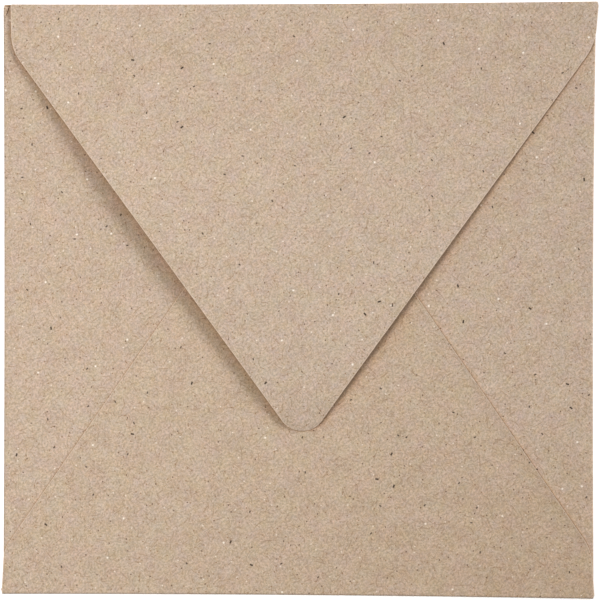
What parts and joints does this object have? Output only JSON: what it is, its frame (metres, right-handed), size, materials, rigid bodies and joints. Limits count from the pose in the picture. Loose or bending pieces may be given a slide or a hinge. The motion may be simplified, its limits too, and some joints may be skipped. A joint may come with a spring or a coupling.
{
  "type": "square envelope",
  "caption": "Square kraft-paper envelope with a deep pointed closure flap, folded shut and not sealed, with glued side seams and a gummed flap.",
  "frame": {"origin": "middle of the pocket, on the address side that the envelope lies on", "axes": "+Z out of the back, where the flaps close; +Y towards the crease of the closure flap; +X to the right as seen from the back"},
  "size_m": [0.1616, 0.16, 0.0036],
  "materials": {
    "kraft_paper": "matte",
    "seam_glue": "satin",
    "flap_gum": "gloss"
  },
  "bodies": {
    "pocket": {"front_panel": "kraft_paper", "left_side_flap": "kraft_paper", "right_side_flap": "kraft_paper", "bottom_flap": "kraft_paper", "left_side_crease": "kraft_paper", "right_side_crease": "kraft_paper", "bottom_crease": "kraft_paper", "top_crease": "kraft_paper", "left_seam_glue": "seam_glue", "right_seam_glue": "seam_glue"},
    "flap": {"top_flap": "kraft_paper", "flap_gum": "flap_gum"}
  },
  "joints": [
    {"name": "flap_hinge", "type": "hinge", "parent": "pocket", "child": "flap", "pos_m": [0.0017, 0.07997, 0.00062], "axis": [-1, 0, 0], "range_deg": [0, 175], "deforming": ["top_crease"]}
  ]
}
